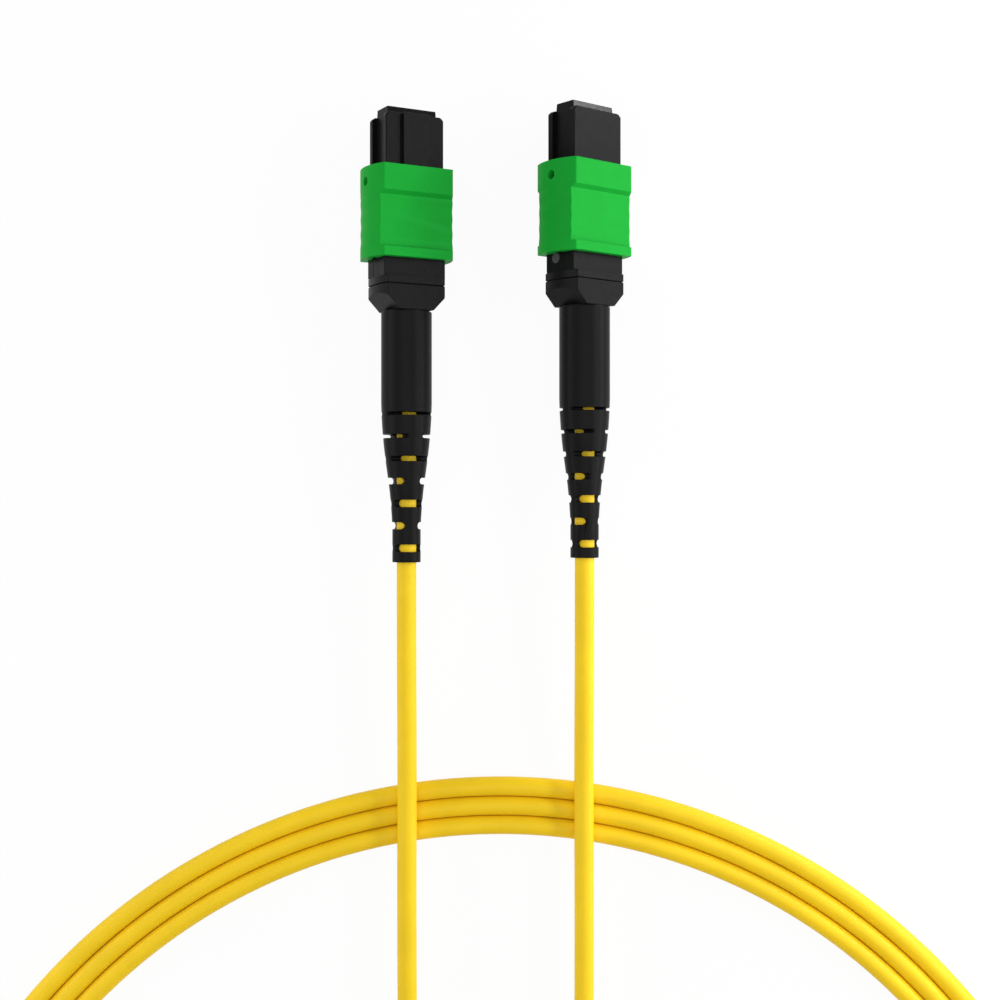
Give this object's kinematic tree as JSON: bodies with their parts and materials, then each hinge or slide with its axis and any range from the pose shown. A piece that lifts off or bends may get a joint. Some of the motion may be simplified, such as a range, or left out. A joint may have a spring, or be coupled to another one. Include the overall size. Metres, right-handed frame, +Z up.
{
  "type": "mpo fibre patch cord",
  "caption": "Round yellow optical patch cord lying in a loose coil, with a keyed rectangular multi-fibre push-pull plug and slotted strain relief on each end.",
  "frame": {"origin": "on the surface that the cord lies on, under the middle of the two plugs", "axes": "+Y the way the plugs' noses point, +Z up"},
  "size_m": [0.1738, 0.2212, 0.0141],
  "materials": {
    "black_moulding": "moulded glass-filled thermoplastic, satin",
    "green_moulding": "moulded thermoplastic, satin green",
    "ferrule_polymer": "filled thermoset, polished face",
    "boot_rubber": "soft moulded elastomer, satin",
    "spring_steel": "bright wire and stamped strip",
    "crimp_metal": "satin, crimped",
    "aramid": "loose strength yarn",
    "yellow_jacket": "extruded cable jacket, satin yellow",
    "fibre_coating": "coated glass fibres"
  },
  "bodies": {
    "root": {"aramid_yarn_a": "aramid", "aramid_yarn_b": "aramid", "cable_end_a": "yellow_jacket", "cable_end_b": "yellow_jacket", "cord_coil": "yellow_jacket", "cord_inner_turn": "yellow_jacket", "cord_run_a": "yellow_jacket", "cord_run_b": "yellow_jacket", "coupling_spring_left_a": "spring_steel", "coupling_spring_left_b": "spring_steel", "coupling_spring_right_a": "spring_steel", "coupling_spring_right_b": "spring_steel", "crimp_ring_a": "crimp_metal", "crimp_ring_b": "crimp_metal", "fibre_ribbon_a": "fibre_coating", "fibre_ribbon_b": "fibre_coating", "housing_a": "black_moulding", "housing_b": "black_moulding", "main_spring_a": "spring_steel", "main_spring_b": "spring_steel", "rear_body_a": "black_moulding", "rear_body_b": "black_moulding", "strain_relief_a": "boot_rubber", "strain_relief_b": "boot_rubber"},
    "sleeve_a": {"coupling_sleeve_a": "green_moulding"},
    "sleeve_b": {"coupling_sleeve_b": "green_moulding"},
    "ferrule_set_a": {"ferrule_a": "ferrule_polymer", "ferrule_boot_a": "boot_rubber", "pin_keeper_a": "spring_steel"},
    "ferrule_set_b": {"ferrule_b": "ferrule_polymer", "ferrule_boot_b": "boot_rubber", "pin_keeper_b": "spring_steel"}
  },
  "joints": [
    {"name": "sleeve_slide_a", "type": "slide", "parent": "root", "child": "sleeve_a", "axis": [0, -1, 0], "range_m": [0, 0.0024], "stiffness_N_per_m": 1200, "springref_m": -0.0025, "deforming": ["coupling_spring_left_a", "coupling_spring_right_a"]},
    {"name": "ferrule_slide_a", "type": "slide", "parent": "root", "child": "ferrule_set_a", "axis": [0, -1, 0], "range_m": [0, 0.0008], "stiffness_N_per_m": 3000, "springref_m": -0.0033, "deforming": ["main_spring_a"]},
    {"name": "sleeve_slide_b", "type": "slide", "parent": "root", "child": "sleeve_b", "axis": [0, -1, 0], "range_m": [0, 0.0024], "stiffness_N_per_m": 1200, "springref_m": -0.0025, "deforming": ["coupling_spring_left_b", "coupling_spring_right_b"]},
    {"name": "ferrule_slide_b", "type": "slide", "parent": "root", "child": "ferrule_set_b", "axis": [0, -1, 0], "range_m": [0, 0.0008], "stiffness_N_per_m": 3000, "springref_m": -0.0033, "deforming": ["main_spring_b"]}
  ]
}
